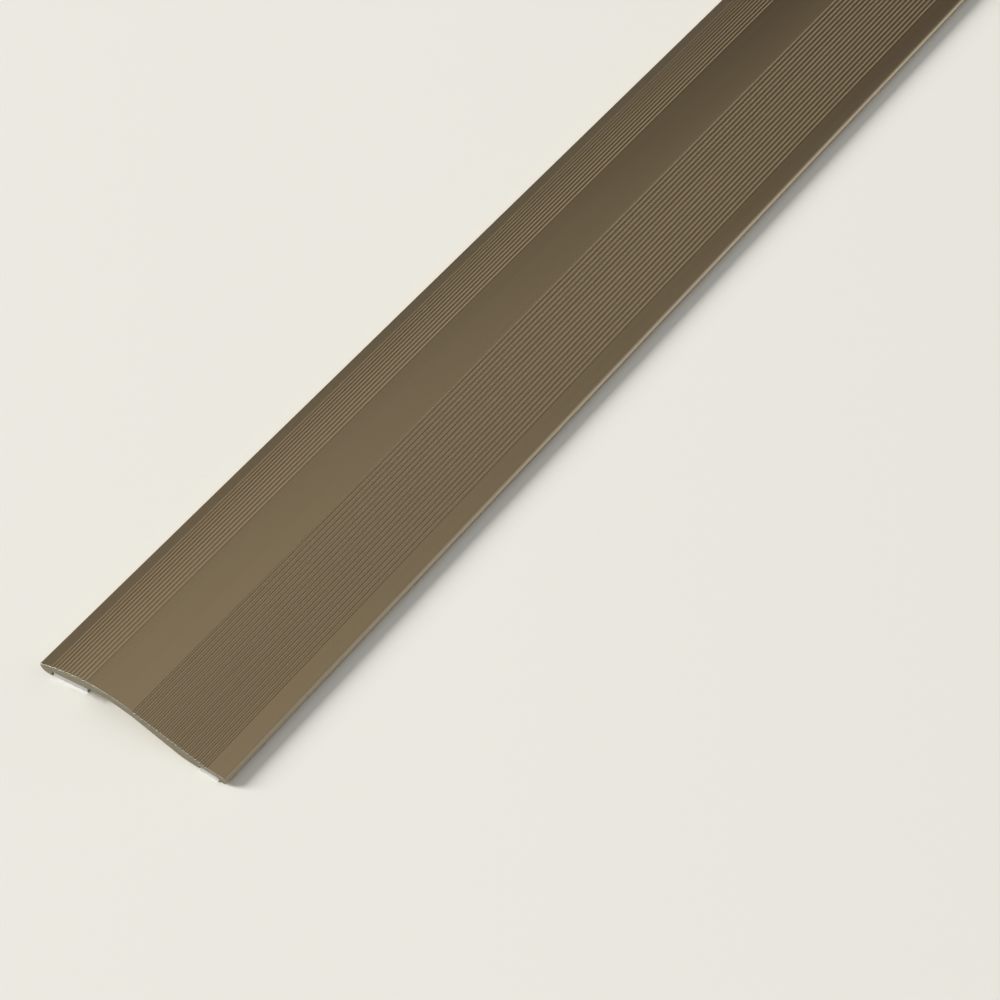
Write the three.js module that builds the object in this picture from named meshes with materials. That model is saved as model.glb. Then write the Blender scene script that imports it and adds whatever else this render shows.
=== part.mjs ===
// Self-adhesive aluminium threshold strip for a doorway: one ribbed, shallow-domed extrusion,
// a double-sided foam tape in the recess under each long edge, and the release liner on each tape.
// Millimetres. X runs across the strip, +Y along it, +Z up. The origin is at the middle of the
// resting plane, which holds the right liner's underside and the left liner's outer edge.

import * as THREE from 'three';

// ---- Driving dimensions ------------------------------------------------------------------------

const WIDTH = 40;                // across the strip, edge to nose
const LENGTH = 900;              // along the strip, cut square at both ends
const FOOT_Z = 0.3;              // height of the metal feet over the liners' resting plane
const LIP_TOP_Z = 1.82;          // height of the left edge's top corner

// The top face, from left to right: a straight lip, an arc over the shoulder and crest, a straight
// slope, and a flat band along the right edge.
const LIP_RUN = 2.42;            // width of the smooth lip
const LIP_SLOPE = rad(23.5);     // rise of the lip
const CROWN_RADIUS = 30.3;       // radius of the arc over the crest
const FALL_SLOPE = rad(11);      // fall of the long ribbed slope

// Ribs: grooves cut into the top face, spaced evenly along it.
const RIB_PITCH = 0.798;
const SHOULDER_RIBS = 11;
const SLOPE_RIBS = 20;
const GROOVE_DEPTH = 0.14;
const GROOVE_MOUTH = 0.52;       // width of a groove at the top face
const GROOVE_FLOOR = 0.26;       // width of its flat floor

// The edges and the underside. The right edge is a half-round nose.
const CORNER_RADIUS = 1.2;       // rounded lower corner of the left edge
const WALL = 1.65;               // wall thickness over the crest
const ARCH_START_X = 11.1;       // where the hollow under the crest begins
const ARCH_END_X = 20.2;         // where the underside leaves the crest's curve and falls to the heel
const HEEL = [30.8, 34.2];       // the flat heel that carries the long slope
const ARC_STEPS = 8;             // straight pieces in a rounded edge
const CROWN_STEPS = 8;           // straight pieces in the plain part of the crown and in the arch

// Recesses for the tapes: both ends, and the height of the ceiling there. The left ceiling climbs
// with the top face, so the metal over it keeps an even thickness.
const LEFT_RECESS = { x: [2.5, 10.6], ceiling: [1.45, 3.1] };
const RIGHT_RECESS = { x: [34.2, 38.3], ceiling: [0.95, 0.95] };

// Tapes and liners.
const LEFT_TAPE = { x: [2.7, 10.4], thickness: 1.25 };
const RIGHT_TAPE = { x: [34.4, 38.1], thickness: 0.73 };
const TAPE_END_INSET = 0.1;      // the tapes are cut with the metal, and end just short of it
const LINER_THICKNESS = 0.12;
const LINER_SIDE_OVERHANG = 0.1; // a liner is this much wider than its tape on each side
const LINER_END_OVERHANG = 0.65; // and this much longer than the strip at each end
const BOND_GAP = 0.05;           // clearance left between pieces that bear on each other

function rad(degrees) {
  return degrees * Math.PI / 180;
}

// ---- The top face as a path --------------------------------------------------------------------

const lipLength = LIP_RUN / Math.cos(LIP_SLOPE);
const crownLength = CROWN_RADIUS * (LIP_SLOPE + FALL_SLOPE);
const crownStart = { x: LIP_RUN, z: LIP_TOP_Z + LIP_RUN * Math.tan(LIP_SLOPE) };
const slopeStart = crownPoint(crownLength);

function crownPoint(along) {
  const angle = LIP_SLOPE - along / CROWN_RADIUS;
  return {
    x: crownStart.x + CROWN_RADIUS * (Math.sin(LIP_SLOPE) - Math.sin(angle)),
    z: crownStart.z + CROWN_RADIUS * (Math.cos(angle) - Math.cos(LIP_SLOPE)),
    angle,
  };
}

// Point on the top face at a distance along it from the left edge, moved down into the metal by depth.
function topPoint(along, depth = 0) {
  let point;
  if (along < lipLength) {
    point = {
      x: along * Math.cos(LIP_SLOPE),
      z: LIP_TOP_Z + along * Math.sin(LIP_SLOPE),
      angle: LIP_SLOPE,
    };
  } else if (along < lipLength + crownLength) {
    point = crownPoint(along - lipLength);
  } else {
    const run = along - lipLength - crownLength;
    point = {
      x: slopeStart.x + run * Math.cos(FALL_SLOPE),
      z: slopeStart.z - run * Math.sin(FALL_SLOPE),
      angle: -FALL_SLOPE,
    };
  }
  return [point.x + depth * Math.sin(point.angle), point.z - depth * Math.cos(point.angle)];
}

// ---- Outline pieces ----------------------------------------------------------------------------

// Four points for each groove of a ribbed zone that begins at a distance along the top face.
function ribZone(start, count) {
  const points = [];
  for (let i = 0; i < count; i++) {
    const middle = start + (i + 0.5) * RIB_PITCH;
    points.push(topPoint(middle - GROOVE_MOUTH / 2));
    points.push(topPoint(middle - GROOVE_FLOOR / 2, GROOVE_DEPTH));
    points.push(topPoint(middle + GROOVE_FLOOR / 2, GROOVE_DEPTH));
    points.push(topPoint(middle + GROOVE_MOUTH / 2));
  }
  return points;
}

function arc(centreX, centreZ, radius, from, to, steps) {
  const points = [];
  for (let i = 0; i <= steps; i++) {
    const angle = from + (to - from) * i / steps;
    points.push([centreX + radius * Math.cos(angle), centreZ + radius * Math.sin(angle)]);
  }
  return points;
}

// The plain part of the crown between the two ribbed zones.
function plainCrown(start, end) {
  const points = [];
  for (let i = 1; i < CROWN_STEPS; i++) {
    points.push(topPoint(start + (end - start) * i / CROWN_STEPS));
  }
  return points;
}

// The underside of the crest, right to left: the top face's arc moved in by the wall thickness.
function archUnderside() {
  const innerRadius = CROWN_RADIUS - WALL;
  const centreX = crownStart.x + CROWN_RADIUS * Math.sin(LIP_SLOPE);
  const centreZ = crownStart.z - CROWN_RADIUS * Math.cos(LIP_SLOPE);
  const from = Math.acos((ARCH_END_X - centreX) / innerRadius);
  const to = Math.acos((ARCH_START_X - centreX) / innerRadius);
  return arc(centreX, centreZ, innerRadius, from, to, CROWN_STEPS);
}

function stripOutline() {
  const shoulderEnd = lipLength + SHOULDER_RIBS * RIB_PITCH;
  const slopeRibsStart = lipLength + crownLength;
  const slopeRibsEnd = slopeRibsStart + SLOPE_RIBS * RIB_PITCH;
  const edgeBandStart = topPoint(slopeRibsEnd);
  const noseTop = edgeBandStart[1];
  const noseRadius = (noseTop - FOOT_Z) / 2;
  return [
    [0, LIP_TOP_Z],
    ...ribZone(lipLength, SHOULDER_RIBS),
    topPoint(shoulderEnd),
    ...plainCrown(shoulderEnd, slopeRibsStart),
    topPoint(slopeRibsStart),
    ...ribZone(slopeRibsStart, SLOPE_RIBS),
    edgeBandStart,
    ...arc(WIDTH - noseRadius, FOOT_Z + noseRadius, noseRadius, rad(90), rad(-90), ARC_STEPS),
    [RIGHT_RECESS.x[1], FOOT_Z],
    [RIGHT_RECESS.x[1], RIGHT_RECESS.ceiling[1]],
    [RIGHT_RECESS.x[0], RIGHT_RECESS.ceiling[0]],
    [HEEL[1], FOOT_Z],
    [HEEL[0], FOOT_Z],
    ...archUnderside(),
    [LEFT_RECESS.x[1], LEFT_RECESS.ceiling[1]],
    [LEFT_RECESS.x[0], LEFT_RECESS.ceiling[0]],
    [LEFT_RECESS.x[0], FOOT_Z],
    ...arc(CORNER_RADIUS, FOOT_Z + CORNER_RADIUS, CORNER_RADIUS, rad(270), rad(180), ARC_STEPS),
  ];
}

// A flat layer that follows a recess's ceiling, its upper face lying a distance below it.
function layer({ x, ceiling }, [x0, x1], below, thickness) {
  const climb = (ceiling[1] - ceiling[0]) / (x[1] - x[0]);
  const z0 = ceiling[0] + climb * (x0 - x[0]) - below;
  const z1 = ceiling[0] + climb * (x1 - x[0]) - below;
  return [[x0, z0 - thickness], [x1, z1 - thickness], [x1, z1], [x0, z0]];
}

// ---- Solids ------------------------------------------------------------------------------------

// Extrudes a cross-section, measured from the left edge, along the strip, centred on the origin.
function extrudeAlongStrip(name, outline, length, material) {
  const shape = new THREE.Shape(outline.map(([x, z]) => new THREE.Vector2(x - WIDTH / 2, z)));
  const geometry = new THREE.ExtrudeGeometry(shape, { depth: length, bevelEnabled: false });
  geometry.rotateX(Math.PI / 2);
  geometry.translate(0, length / 2, 0);
  const mesh = new THREE.Mesh(geometry, material);
  mesh.name = name;
  return mesh;
}

function finish(color, roughness, metalness) {
  return new THREE.MeshStandardMaterial({ color, roughness, metalness });
}

// ---- Cover strip -------------------------------------------------------------------------------

const anodised = finish(0x7d6d53, 0.35, 1);
const coverStrip = extrudeAlongStrip('cover_strip', stripOutline(), LENGTH, anodised);

// ---- Foam tapes --------------------------------------------------------------------------------

const tapeLength = LENGTH - 2 * TAPE_END_INSET;

function foamTape(name, recess, tape) {
  const section = layer(recess, tape.x, BOND_GAP, tape.thickness);
  return extrudeAlongStrip(name, section, tapeLength, finish(0xa09e98, 0.9, 0));
}

const leftTape = foamTape('left_foam_tape', LEFT_RECESS, LEFT_TAPE);
const rightTape = foamTape('right_foam_tape', RIGHT_RECESS, RIGHT_TAPE);

// ---- Release liners ----------------------------------------------------------------------------

const linerLength = LENGTH + 2 * LINER_END_OVERHANG;

function releaseLiner(name, recess, tape) {
  const edges = [tape.x[0] - LINER_SIDE_OVERHANG, tape.x[1] + LINER_SIDE_OVERHANG];
  const section = layer(recess, edges, tape.thickness + 2 * BOND_GAP, LINER_THICKNESS);
  return extrudeAlongStrip(name, section, linerLength, finish(0xf2f0ea, 0.6, 0));
}

const leftLiner = releaseLiner('left_release_liner', LEFT_RECESS, LEFT_TAPE);
const rightLiner = releaseLiner('right_release_liner', RIGHT_RECESS, RIGHT_TAPE);

const thresholdStrip = new THREE.Group();
thresholdStrip.add(coverStrip, leftTape, rightTape, leftLiner, rightLiner);

export default thresholdStrip;
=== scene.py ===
import math

import bmesh
import bpy
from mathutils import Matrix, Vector, noise


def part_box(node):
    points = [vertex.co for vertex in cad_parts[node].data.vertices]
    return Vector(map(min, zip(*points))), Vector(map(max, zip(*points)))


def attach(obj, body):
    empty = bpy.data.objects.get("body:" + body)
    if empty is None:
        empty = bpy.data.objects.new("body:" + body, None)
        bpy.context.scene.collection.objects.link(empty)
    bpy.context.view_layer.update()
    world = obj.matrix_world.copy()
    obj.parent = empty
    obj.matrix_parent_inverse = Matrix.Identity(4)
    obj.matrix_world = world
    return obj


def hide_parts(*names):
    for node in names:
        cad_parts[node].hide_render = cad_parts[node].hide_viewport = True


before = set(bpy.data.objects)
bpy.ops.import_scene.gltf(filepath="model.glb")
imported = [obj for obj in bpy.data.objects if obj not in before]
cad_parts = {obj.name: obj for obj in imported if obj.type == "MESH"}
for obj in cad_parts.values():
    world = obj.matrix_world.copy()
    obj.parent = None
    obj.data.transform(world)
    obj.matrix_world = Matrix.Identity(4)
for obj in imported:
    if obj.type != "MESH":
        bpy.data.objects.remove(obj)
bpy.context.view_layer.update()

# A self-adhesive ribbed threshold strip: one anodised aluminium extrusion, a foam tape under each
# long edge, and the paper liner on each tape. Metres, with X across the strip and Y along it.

MM = 0.001
strip_low, strip_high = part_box("cover_strip")

# ---- Detail sizes ------------------------------------------------------------------------------

EDGE_RADIUS = 0.06 * MM        # rounding that the die leaves on edges, where there is room
EDGE_STEPS = 5                 # straight pieces in each rounded edge
END_BREAK = 0.02 * MM          # the saw cut's broken edge
STRIP_STATIONS = 24            # lengths that the strip is lofted in

END_ZONE = 3 * MM              # length over which a cut or torn end's raggedness dies out

FOAM_EDGE = 0.12 * MM          # rounding of the foam's long edges
FOAM_END_WANDER = 0.12 * MM    # how far the foam's cut end wanders
FOAM_PINCH = 0.012             # how much the foam narrows in places, as a fraction
FOAM_SIDE_STEPS = 6            # pieces that each side of the foam's section is split into
FOAM_STATIONS = 160

PAPER_THICKNESS = 0.09 * MM
PAPER_COLUMNS = 24             # strips across a liner
PAPER_STATIONS = 200
PAPER_COCKLE = 0.012 * MM      # waves in the paper
PAPER_TEAR = 0.35 * MM         # how far the torn end wanders back
PAPER_LIFT = 0.12 * MM         # how far the near end lifts off the floor
PAPER_LIFT_RUN = 0.6 * MM      # length that the lift takes
PAPER_LIFT_START = 0.2 * MM    # how far inside the strip's end the lift begins
LEFT_OVERHANG = 0.65 * MM      # how far each liner sticks out past the strip
RIGHT_OVERHANG = 0.4 * MM

# Zones across the strip, measured from its middle; the ribbed width bounds the painted shade on the
# groove walls, and the nose gets a painted glint tone.
RIBS_MIDDLE = -0.8 * MM        # middle of the ribbed width
RIBS_REACH = 16.85 * MM        # half of the ribbed width
NOSE_START = 19.2 * MM         # where the nose's painted glint tone begins
NOSE_FULL = 19.5 * MM          # where that painted tone is full

# ---- Camera, light and floor -------------------------------------------------------------------

CAMERA_PLACE = Vector((0.20347, -0.62899, 0.37471))
CAMERA_AIM = Vector((-0.3752, 0.5195, -0.7677))
LENS_MM = 100.4
SENSOR_MM = 36.0

KEY_DIRECTION = Vector((-0.78, -0.5, 0.365))
KEY_DISTANCE = 8.0             # far enough to light the floor evenly round the whole strip
KEY_SIZE = 3.43
KEY_WATTS = 1120
KEY_AIM_AHEAD = 0.28           # how far in front of the camera the key light is aimed
DOME_LOW = 0.07                # radiance of the studio near the floor
DOME_RISE = 0.29               # what the overhead light adds
DOME_RIGHT = 0.37              # what the upper right adds
DOME_WALL = 1.45               # what the white wall behind on the right adds
FLOOR_HALF = 6.0
FLOOR_COLOUR = (0.80, 0.793, 0.742, 1.0)


def make_camera():
    data = bpy.data.cameras.new("camera")
    data.sensor_width = SENSOR_MM
    data.lens = LENS_MM
    camera = bpy.data.objects.new("camera", data)
    camera.location = CAMERA_PLACE
    camera.rotation_euler = CAMERA_AIM.to_track_quat("-Z", "Y").to_euler()
    bpy.context.scene.collection.objects.link(camera)
    bpy.context.scene.camera = camera


def make_key_light():
    target = Vector((0.0, CAMERA_PLACE.y + KEY_AIM_AHEAD, 0.0))
    direction = KEY_DIRECTION.normalized()
    data = bpy.data.lights.new("key", "AREA")
    data.shape = "DISK"
    data.size = KEY_SIZE
    data.energy = KEY_WATTS
    data.color = (1.0, 0.985, 0.96)
    light = bpy.data.objects.new("key", data)
    light.location = target + direction * KEY_DISTANCE
    light.rotation_euler = (-direction).to_track_quat("-Z", "Y").to_euler()
    bpy.context.scene.collection.objects.link(light)


# ---- Node helpers ------------------------------------------------------------------------------


class NodeTree:
    """Adds and links shader nodes. An input is given as a value or as another node's socket."""

    def __init__(self, tree):
        self.tree = tree
        tree.nodes.clear()

    def add(self, kind, inputs=None, **settings):
        node = self.tree.nodes.new("ShaderNode" + kind)
        for name, value in settings.items():
            setattr(node, name, value)
        for name, value in (inputs or {}).items():
            if isinstance(value, bpy.types.NodeSocket):
                self.tree.links.new(value, node.inputs[name])
            else:
                node.inputs[name].default_value = value
        return node

    def product(self, *values):
        total = values[0]
        for value in values[1:]:
            total = self.math("MULTIPLY", total, value)
        return total

    def place(self):
        return self.add("TexCoord").outputs["Object"]

    def axes(self, vector):
        """A vector's sockets, by the names X, Y and Z."""
        return self.add("SeparateXYZ", {"Vector": vector}).outputs

    def noise(self, per_metre, detail=2.0, roughness=0.5):
        """Noise from 0 to 1 with its own number of features per metre along X, Y and Z."""
        mapping = self.add("Mapping", {"Vector": self.place(), "Scale": per_metre})
        inputs = {
            "Vector": mapping.outputs["Vector"],
            "Scale": 1.0,
            "Detail": detail,
            "Roughness": roughness,
        }
        return self.add("TexNoise", inputs).outputs[0]

    def remap(self, value, low, high, to_low, to_high, smooth=False):
        inputs = {
            "Value": value,
            "From Min": low,
            "From Max": high,
            "To Min": to_low,
            "To Max": to_high,
        }
        kind = "SMOOTHSTEP" if smooth else "LINEAR"
        return self.add("MapRange", inputs, interpolation_type=kind).outputs["Result"]

    def math(self, operation, first, second=0.0):
        node = self.add("Math", operation=operation)
        for socket, value in zip(node.inputs, (first, second)):
            if isinstance(value, bpy.types.NodeSocket):
                self.tree.links.new(value, socket)
            else:
                socket.default_value = value
        return node.outputs[0]

    def mix(self, factor, first, second):
        """Colour mix. Each colour is a socket or three numbers."""
        node = self.add("Mix", data_type="RGBA")
        colours = [s for s in node.inputs if s.type == "RGBA"]
        sockets = (node.inputs[0], colours[0], colours[1])
        for socket, value in zip(sockets, (factor, first, second)):
            if isinstance(value, bpy.types.NodeSocket):
                self.tree.links.new(value, socket)
            elif isinstance(value, tuple):
                socket.default_value = (*value, 1.0)
            else:
                socket.default_value = value
        return next(s for s in node.outputs if s.type == "RGBA")

    def bump(self, height, depth, under=None):
        inputs = {"Height": height, "Distance": depth, "Strength": 1.0}
        if under is not None:
            inputs["Normal"] = under
        return self.add("Bump", inputs).outputs["Normal"]

    def surface(self, **inputs):
        """Principled shader and output; input names are given with underscores for spaces."""
        named = {name.replace("_", " "): value for name, value in inputs.items()}
        shader = self.add("BsdfPrincipled", named)
        self.add("OutputMaterial", {"Surface": shader.outputs["BSDF"]})


def new_material(name):
    material = bpy.data.materials.new(name)
    material.use_nodes = True
    return material, NodeTree(material.node_tree)


# ---- Materials ---------------------------------------------------------------------------------


def anodised_aluminium():
    """Satin bronze anodising with die lines along the strip, its anodising chipped through at the
    sawn ends; painted shade on the groove walls, and a painted tone on the nose that dulls its
    glint.
    """
    material, nodes = new_material("anodised_aluminium")
    place = nodes.axes(nodes.place())
    drift = nodes.noise((60.0, 4.0, 60.0), detail=3.0)
    streaks = nodes.noise((2600.0, 5.0, 2600.0), detail=3.0, roughness=0.6)
    grain = nodes.noise((3200.0, 3200.0, 3200.0), detail=2.0)
    tint = nodes.remap(drift, 0.3, 0.7, 0.0, 1.0)
    tone = nodes.mix(tint, (0.509, 0.380, 0.218), (0.545, 0.410, 0.239))
    tone = nodes.mix(nodes.remap(streaks, 0.35, 0.75, 0.0, 0.35), tone, (0.614, 0.474, 0.288))
    tone = worn_and_glint_toned(nodes, place, grain, tone)
    # Painted shade: the groove walls darkened by the way they face, the left-facing ones most.
    tone = painted_groove_shade(nodes, place, tone)
    etched = nodes.bump(grain, 0.002 * MM)
    nodes.surface(
        Base_Color=tone,
        Metallic=1.0,
        Roughness=nodes.remap(streaks, 0.3, 0.75, 0.3, 0.36),
        Anisotropic=0.8,
        Anisotropic_Rotation=0.25,
        Tangent=nodes.add("CombineXYZ", {"Y": 1.0}).outputs[0],
        Coat_Weight=0.3,
        Coat_Roughness=0.3,
        Normal=nodes.bump(streaks, 0.004 * MM, etched),
    )
    return material


def worn_and_glint_toned(nodes, place, grain, tone):
    """The tone rubbed pale on sharp edges and chipped at the sawn ends, and along the nose made
    darker and more neutral: a painted tone that dulls the nose's glint.
    """
    edges = nodes.add("NewGeometry").outputs["Pointiness"]
    rubbed = nodes.remap(edges, 0.53, 0.62, 0.0, 0.22)
    tone = nodes.mix(nodes.product(rubbed, grain), tone, (0.56, 0.50, 0.40))

    from_end = nodes.math("SUBTRACT", strip_high.y, nodes.math("ABSOLUTE", place["Y"]))
    chips = nodes.product(nodes.noise((1500.0, 300.0, 1500.0)), 0.35 * MM)
    chipped = nodes.math("LESS_THAN", nodes.math("ADD", from_end, 0.06 * MM), chips)
    tone = nodes.mix(chipped, tone, (0.50, 0.47, 0.40))

    # Painted reflection: the nose made darker and more neutral, to dull and grey its glint.
    painted_nose_glint = nodes.remap(place["X"], NOSE_START, NOSE_FULL, 0.0, 1.0, smooth=True)
    return nodes.mix(painted_nose_glint, tone, (0.44, 0.362, 0.25))


def painted_groove_shade(nodes, place, tone):
    """Painted shade: the tone darkened on the steep walls of the grooves, more on the walls that
    face left, by the way each wall faces.
    """
    facing = nodes.axes(nodes.add("TexCoord").outputs["Normal"])["X"]
    left_wall_shade = nodes.remap(facing, -0.42, -0.56, 0.0, 0.93)
    right_wall_shade = nodes.remap(facing, 0.66, 0.8, 0.0, 0.45)
    from_middle = nodes.math("ABSOLUTE", nodes.math("SUBTRACT", place["X"], RIBS_MIDDLE))
    ribbed = nodes.math("LESS_THAN", from_middle, RIBS_REACH)
    walls = nodes.product(nodes.math("ADD", left_wall_shade, right_wall_shade), ribbed)
    return nodes.mix(walls, tone, (0.05, 0.038, 0.024))


def sawn_aluminium():
    """Bare metal of the cut ends, with the saw's marks."""
    material, nodes = new_material("sawn_aluminium")
    marks = nodes.noise((1900.0, 400.0, 260.0), detail=3.0, roughness=0.6)
    smears = nodes.noise((500.0, 500.0, 1800.0), detail=2.0)
    smear = nodes.remap(smears, 0.3, 0.7, 0.0, 1.0)
    tone = nodes.mix(smear, (0.216, 0.195, 0.141), (0.282, 0.256, 0.187))
    nodes.surface(
        Base_Color=tone,
        Metallic=1.0,
        Roughness=nodes.remap(marks, 0.3, 0.7, 0.38, 0.58),
        Normal=nodes.bump(marks, 0.02 * MM),
    )
    return material


def closed_cell_foam():
    material, nodes = new_material("closed_cell_foam")
    pattern = nodes.add("TexVoronoi", {"Vector": nodes.place(), "Scale": 5200.0}, feature="F1")
    cells = pattern.outputs["Distance"]
    soil = nodes.remap(nodes.noise((400.0, 40.0, 400.0), detail=4.0), 0.3, 0.7, 0.0, 1.0)
    tone = nodes.mix(soil, (0.31, 0.305, 0.285), (0.37, 0.363, 0.342))
    tone = nodes.mix(nodes.remap(cells, 0.0, 0.5, 0.3, 0.0), tone, (0.23, 0.226, 0.21))
    nodes.surface(
        Base_Color=tone,
        Roughness=nodes.remap(cells, 0.0, 0.6, 0.95, 0.8),
        Normal=nodes.bump(cells, 0.03 * MM),
    )
    return material


def siliconed_paper():
    material, nodes = new_material("siliconed_paper")
    fibres = nodes.noise((2400.0, 700.0, 2400.0), detail=4.0, roughness=0.65)
    clouds = nodes.remap(nodes.noise((180.0, 60.0, 180.0), detail=3.0), 0.3, 0.7, 0.0, 1.0)
    tone = nodes.mix(clouds, (0.71, 0.71, 0.69), (0.78, 0.78, 0.76))
    tone = nodes.mix(nodes.remap(fibres, 0.5, 0.8, 0.0, 0.25), tone, (0.64, 0.64, 0.61))
    nodes.surface(
        Base_Color=tone,
        Roughness=nodes.remap(fibres, 0.3, 0.7, 0.38, 0.55),
        Specular_IOR_Level=0.5,
        Normal=nodes.bump(fibres, 0.008 * MM),
    )
    return material


def pale_floor():
    material, nodes = new_material("pale_floor")
    nodes.surface(Base_Color=FLOOR_COLOUR, Roughness=0.7, Specular_IOR_Level=0.2)
    return material


# ---- Mesh helpers ------------------------------------------------------------------------------


def end_outline(node):
    """Corners of a CAD node's end at its lowest Y, as (x, z) pairs in order round the outline."""
    end_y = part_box(node)[0].y
    mesh = bmesh.new()
    mesh.from_mesh(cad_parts[node].data)
    bmesh.ops.remove_doubles(mesh, verts=mesh.verts, dist=1e-7)

    def at_end(element):
        return all(abs(v.co.y - end_y) < 1e-6 for v in element.verts)

    rim = [e for e in mesh.edges if at_end(e) and not all(at_end(f) for f in e.link_faces)]
    beside = {}
    for edge in rim:
        first, second = edge.verts
        beside.setdefault(first, []).append(second)
        beside.setdefault(second, []).append(first)
    start = min(beside, key=lambda v: (v.co.x, v.co.z))
    loop = [start, beside[start][0]]
    while True:
        first, second = beside[loop[-1]]
        onward = second if first == loop[-2] else first
        if onward == start:
            break
        loop.append(onward)
    corners = [Vector((v.co.x, v.co.z)) for v in loop]
    mesh.free()
    area = sum(a.cross(b) for a, b in zip(corners, corners[1:] + corners[:1]))
    return corners if area > 0 else corners[::-1]


def rounded(corners, radius, steps):
    """The outline with each corner rounded, by no more than its shorter side has room for."""
    outline = []
    for before, here, after in zip(corners[-1:] + corners[:-1], corners, corners[1:] + corners[:1]):
        back, forward = before - here, after - here
        turn = math.pi - back.angle(forward)
        room = 0.45 * min(back.length, forward.length)
        # A shallow bend is part of a curve that the CAD draws in straight pieces.
        reach = room if turn < math.radians(30) else min(radius * math.tan(turn / 2), room)
        start = here + back.normalized() * reach
        end = here + forward.normalized() * reach
        for i in range(steps + 1):
            t = i / steps
            outline.append((1 - t) ** 2 * start + 2 * t * (1 - t) * here + t ** 2 * end)
    return outline


def inset(outline, distance):
    """The outline moved inwards by a small distance."""
    moved = []
    for before, here, after in zip(outline[-1:] + outline[:-1], outline, outline[1:] + outline[:1]):
        along = (after - before).normalized()
        moved.append(here + distance * Vector((-along.y, along.x)))
    return moved


def area_along_strip(faces):
    """Area of faces as seen along the strip. Faces that overlap or are folded over count twice."""
    return sum(abs(face.normal.y) * face.calc_area() for face in faces)


def loft(name, rings, side_material, end_material=None, sharp=35.0):
    """A closed piece through rings of points, all of one length, with its first and last capped."""
    mesh = bmesh.new()
    rows = [[mesh.verts.new(p) for p in ring] for ring in rings]
    count = len(rings[0])
    for near, far in zip(rows, rows[1:]):
        for i in range(count):
            j = (i + 1) % count
            mesh.faces.new((near[i], near[j], far[j], far[i]))
    caps = [mesh.faces.new(rows[0][::-1]), mesh.faces.new(rows[-1])]
    for cap in caps:
        cap.material_index = 1 if end_material else 0
    bmesh.ops.recalc_face_normals(mesh, faces=mesh.faces)
    cap_area = area_along_strip(caps)
    filled = bmesh.ops.triangulate(mesh, faces=caps)["faces"]
    if abs(area_along_strip(filled) - cap_area) > 0.01 * cap_area:
        raise ValueError(name + ": the end outline crosses itself, so its cap doesn't fill it")
    for face in mesh.faces:
        face.smooth = True
    data = bpy.data.meshes.new(name)
    mesh.to_mesh(data)
    mesh.free()
    data.materials.append(side_material)
    if end_material:
        data.materials.append(end_material)
    data.set_sharp_from_angle(angle=math.radians(sharp))
    piece = bpy.data.objects.new(name, data)
    bpy.context.scene.collection.objects.link(piece)
    even = piece.modifiers.new("even_shading", "WEIGHTED_NORMAL")
    even.keep_sharp = True
    return piece


def wander(x, y, z=0.0):
    """Smooth noise from -1 to 1."""
    return noise.noise(Vector((x, y, z)))


def stations(low, high, count, crowding=1.8):
    """Places from low to high, closer together towards both ends."""
    places = []
    for i in range(count + 1):
        t = 2 * i / count - 1
        eased = math.copysign(1 - (1 - abs(t)) ** crowding, t)
        places.append((low + high) / 2 + (high - low) / 2 * eased)
    return places


# ---- Pieces ------------------------------------------------------------------------------------


def make_strip(metal, sawn):
    outline = rounded(end_outline("cover_strip"), EDGE_RADIUS, EDGE_STEPS)
    broken = inset(outline, END_BREAK)

    def ring(points, y):
        return [Vector((p.x, y, p.y)) for p in points]

    first, last = strip_low.y + END_BREAK, strip_high.y - END_BREAK
    inner = [first, *stations(first + END_BREAK, last - END_BREAK, STRIP_STATIONS), last]
    rings = [ring(broken, strip_low.y)]
    rings += [ring(outline, y) for y in inner]
    rings.append(ring(broken, strip_high.y))
    piece = loft("ribbed_strip", rings, metal, sawn, sharp=30.0)
    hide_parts("cover_strip")
    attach(piece, "strip")


def make_tape(node, name, foam, seed):
    """A foam tape: soft long edges, cut ends that wander, and sides that are not quite straight."""
    low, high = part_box(node)
    corners = end_outline(node)
    sides = []
    for start, end in zip(corners, corners[1:] + corners[:1]):
        sides += [start.lerp(end, i / FOAM_SIDE_STEPS) for i in range(FOAM_SIDE_STEPS)]
    section = rounded(sides, FOAM_EDGE, 2)
    centre = (corners[0] + corners[2]) / 2
    rings = []
    for y in stations(low.y, high.y, FOAM_STATIONS):
        nearness = max(0.0, 1 - min(y - low.y, high.y - y) / END_ZONE)
        inward = 1 if y < 0 else -1
        ring = []
        for p in section:
            ragged = 0.5 + 0.5 * wander(p.x / MM, p.y / MM * 2, seed)
            cut = ragged * FOAM_END_WANDER * nearness
            pinch = 1 - FOAM_PINCH * (1 + wander(p.x / MM, y * 300, seed + 5))
            q = centre + (p - centre) * pinch
            ring.append(Vector((q.x, y + inward * cut, q.y)))
        rings.append(ring)
    piece = loft(name, rings, foam, sharp=60.0)
    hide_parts(node)
    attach(piece, "strip")


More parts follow.
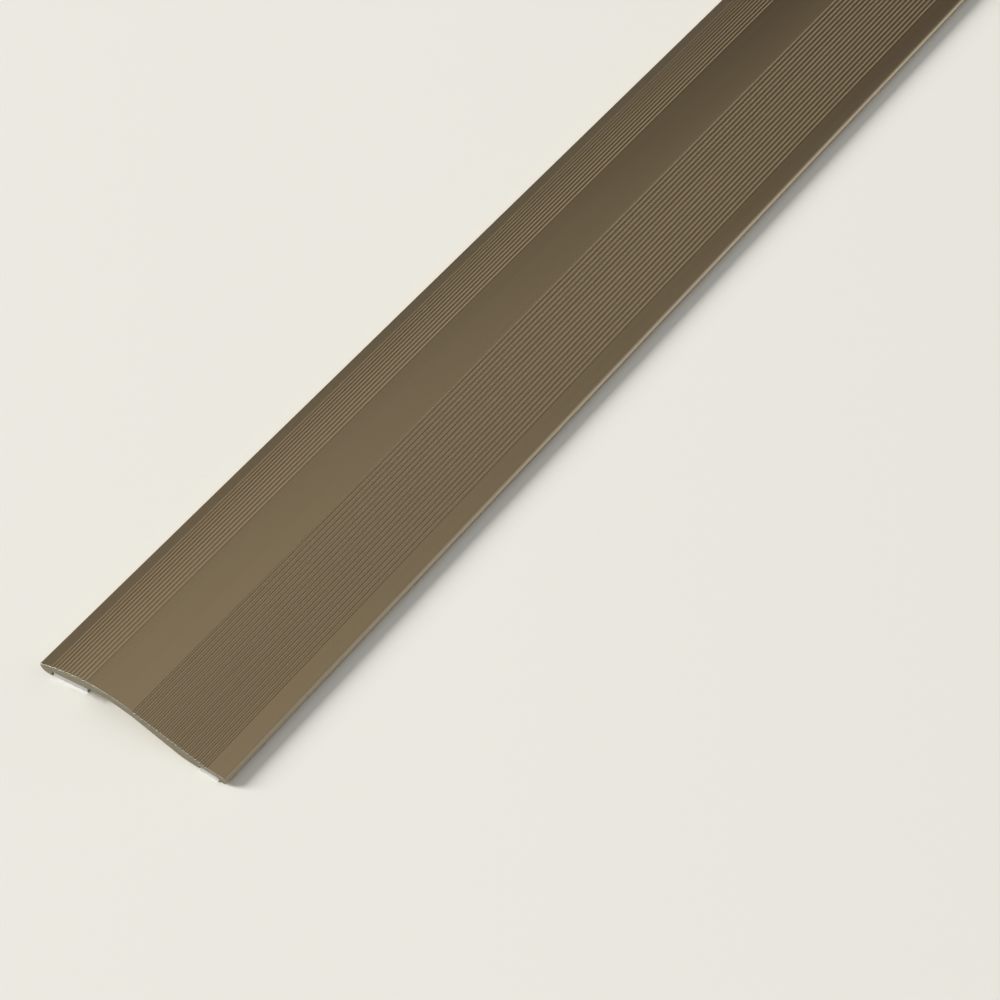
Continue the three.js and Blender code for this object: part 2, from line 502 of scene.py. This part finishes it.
def make_liner(node, name, body, paper, overhang, seed):
    """A paper liner: slightly cockled, torn at its ends, its near end lifted off the floor."""
    low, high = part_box(node)
    corners = end_outline(node)
    left, right = (min(p.y for p in corners if abs(p.x - x) < 1e-6) for x in (low.x, high.x))
    near, far = strip_low.y - overhang, strip_high.y + overhang
    rings = []
    for y in stations(near, far, PAPER_STATIONS):
        nearness = max(0.0, 1 - min(y - near, far - y) / END_ZONE)
        past_strip = strip_low.y + PAPER_LIFT_START - y
        lift = PAPER_LIFT * max(0.0, past_strip / PAPER_LIFT_RUN) ** 1.3
        inward = 1 if y < 0 else -1
        under, over = [], []
        for i in range(PAPER_COLUMNS + 1):
            t = i / PAPER_COLUMNS
            x = low.x + (high.x - low.x) * t
            tear = 0.5 + 0.35 * wander(x / MM * 0.8, seed)
            tear += 0.25 * wander(x / MM * 3.1, seed + 9)
            place = y + inward * PAPER_TEAR * nearness * min(1.0, max(0.0, tear))
            cockle = PAPER_COCKLE * (1 + wander(x / MM * 0.4, y * 90, seed + 3))
            curl = lift * (0.6 + 0.8 * abs(t - 0.45))
            height = left + (right - left) * t + cockle + curl
            under.append(Vector((x, place, height)))
            over.append(Vector((x, place, height + PAPER_THICKNESS)))
        rings.append(under + over[::-1])
    piece = loft(name, rings, paper, sharp=50.0)
    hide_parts(node)
    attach(piece, body)


def make_floor():
    data = bpy.data.meshes.new("floor")
    corners = [(-1, -1), (1, -1), (1, 1), (-1, 1)]
    points = [(FLOOR_HALF * x, FLOOR_HALF * y, 0.0) for x, y in corners]
    data.from_pydata(points, [], [(0, 1, 2, 3)])
    data.materials.append(pale_floor())
    floor = bpy.data.objects.new("floor", data)
    bpy.context.scene.collection.objects.link(floor)


def make_dome():
    """Studio surroundings: an overhead light, brighter on the left, that fades towards the back
    and the horizon, a dimmer one at the upper right, and a white wall low behind on the right."""
    world = bpy.data.worlds.new("studio")
    world.use_nodes = True
    bpy.context.scene.world = world
    nodes = NodeTree(world.node_tree)
    toward = nodes.axes(nodes.add("TexCoord").outputs["Generated"])

    def fade(axis, start, end, at_start, at_end):
        return nodes.remap(toward[axis], start, end, at_start, at_end, smooth=True)

    overhead = nodes.product(
        fade("Z", 0.25, 0.62, 0.0, 1.0),
        fade("Y", 0.35, 0.8, 1.0, 0.0),
        DOME_RISE,
        fade("X", -0.1, -0.5, 1.0, 1.4),
    )
    upper_right = nodes.product(
        fade("X", 0.15, 0.55, 0.0, DOME_RIGHT),
        fade("Z", 0.3, 0.55, 0.0, 1.0),
    )
    wall = nodes.product(
        fade("X", 0.0, 0.4, 0.0, 1.0),
        fade("Y", 0.38, 0.6, 0.0, 1.0),
        fade("Z", 0.15, 0.45, 1.0, 0.15),
        DOME_WALL,
    )
    horizon = nodes.product(nodes.remap(toward["X"], -0.9, -0.3, 0.5, 1.0), DOME_LOW)
    strength = nodes.math("ADD", overhead, upper_right)
    strength = nodes.math("ADD", strength, wall)
    strength = nodes.math("ADD", strength, horizon)
    sky = {"Color": (1.0, 0.995, 0.985, 1.0), "Strength": strength}
    background = nodes.add("Background", sky)
    nodes.add("OutputWorld", {"Surface": background.outputs["Background"]})


make_camera()
make_key_light()
make_dome()
make_floor()

make_strip(anodised_aluminium(), sawn_aluminium())
foam = closed_cell_foam()
make_tape("left_foam_tape", "left_tape_foam", foam, seed=2.0)
make_tape("right_foam_tape", "right_tape_foam", foam, seed=7.0)
paper = siliconed_paper()
make_liner(
    "left_release_liner", "left_liner_paper", "left_liner", paper, LEFT_OVERHANG, seed=3.0
)
make_liner(
    "right_release_liner", "right_liner_paper", "right_liner", paper, RIGHT_OVERHANG, seed=11.0
)

bpy.context.scene.view_settings.view_transform = "Standard"
